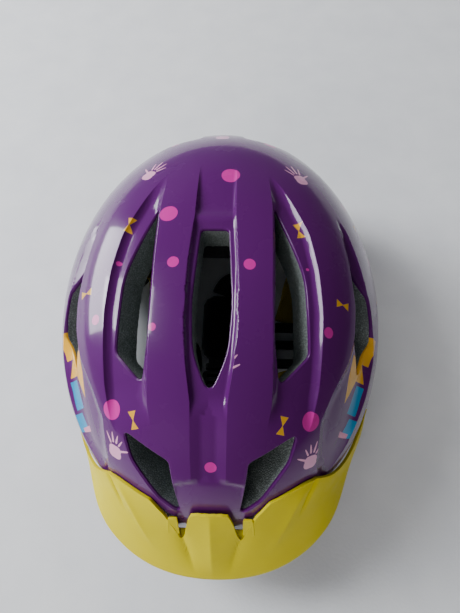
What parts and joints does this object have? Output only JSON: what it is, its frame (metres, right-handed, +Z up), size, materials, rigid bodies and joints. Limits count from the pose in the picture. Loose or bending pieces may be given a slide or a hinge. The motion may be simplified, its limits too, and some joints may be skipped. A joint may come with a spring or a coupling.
{
  "type": "cycling helmet",
  "caption": "Small rounded cycling helmet with a foam liner, glossy vented shell, clip-on visor, dial-adjusted fit cradle and buckled chin strap.",
  "frame": {"origin": "on the surface the rim stands on, under the middle of the helmet", "axes": "+Z up out of the crown, -Y towards the visor, +X towards the wearer's left"},
  "size_m": [0.2056, 0.2898, 0.1516],
  "materials": {
    "shell": "glossy purple film with printed dots, bow-ties and hand shapes",
    "trim": "glossy black edge",
    "liner": "moulded bead foam, charcoal",
    "visor": "satin yellow moulding",
    "pad": "brushed knit over foam",
    "hook": "hook tape",
    "fitting": "fine moulded grain",
    "dial": "soft-touch",
    "steel": "plated screw",
    "webbing": "woven webbing, yellow",
    "dark_webbing": "woven webbing, black",
    "rubber": "moulded rubber"
  },
  "bodies": {
    "helmet": {"outer_shell": "shell", "edge_trim": "trim", "foam_liner": "liner", "brow_pad": "pad", "crown_pad_left": "pad", "crown_pad_right": "pad", "temple_pad_left": "pad", "temple_pad_right": "pad", "pad_hook_discs": "hook", "temple_pin_left": "fitting", "temple_pin_right": "fitting", "front_strap_left": "webbing", "front_strap_right": "webbing", "rear_strap_left": "webbing", "rear_strap_right": "webbing", "chin_strap_left": "dark_webbing", "chin_strap_right": "dark_webbing", "strap_anchors": "fitting", "strap_divider_left": "fitting", "strap_divider_right": "fitting", "buckle_female": "fitting"},
    "visor": {"visor": "visor"},
    "cradle": {"fit_band_left": "fitting", "fit_band_right": "fitting", "dial_housing": "fitting", "dial_cover": "fitting", "cover_screws": "steel", "nape_pad": "pad"},
    "dial": {"fit_dial": "dial", "dial_pinion": "fitting", "dial_screw": "steel"},
    "rack_left": {"fit_rack_left": "fitting"},
    "rack_right": {"fit_rack_right": "fitting"},
    "plug": {"buckle_male": "fitting", "chin_web": "dark_webbing", "strap_keeper": "rubber", "chin_pad": "pad"}
  },
  "joints": [
    {"name": "visor_pull_off", "type": "slide", "parent": "helmet", "child": "visor", "axis": [0, -1, 0], "range_m": [0, 0.03]},
    {"name": "cradle_tilt", "type": "hinge", "parent": "helmet", "child": "cradle", "pos_m": [0, -0.045, 0.032], "axis": [1, 0, 0], "range_deg": [-3, 6]},
    {"name": "dial_turn", "type": "hinge", "parent": "cradle", "child": "dial", "pos_m": [0, 0.088, 0.024], "axis": [0, 1, 0], "range_deg": [-30, 110]},
    {"name": "rack_left_slide", "type": "slide", "parent": "cradle", "child": "rack_left", "axis": [-1, 0, 0], "range_m": [-0.0027, 0.0097], "deforming": ["fit_band_left"]},
    {"name": "rack_right_slide", "type": "slide", "parent": "cradle", "child": "rack_right", "axis": [1, 0, 0], "range_m": [-0.0027, 0.0097], "deforming": ["fit_band_right"]},
    {"name": "buckle_release", "type": "slide", "parent": "helmet", "child": "plug", "axis": [0, 1, 0], "range_m": [0, 0.0142], "deforming": ["chin_strap_left"]}
  ],
  "couplings": [
    {"joint": "rack_left_slide", "follows": "dial_turn", "m_per_rad": 0.005},
    {"joint": "rack_right_slide", "follows": "dial_turn", "m_per_rad": 0.005}
  ]
}
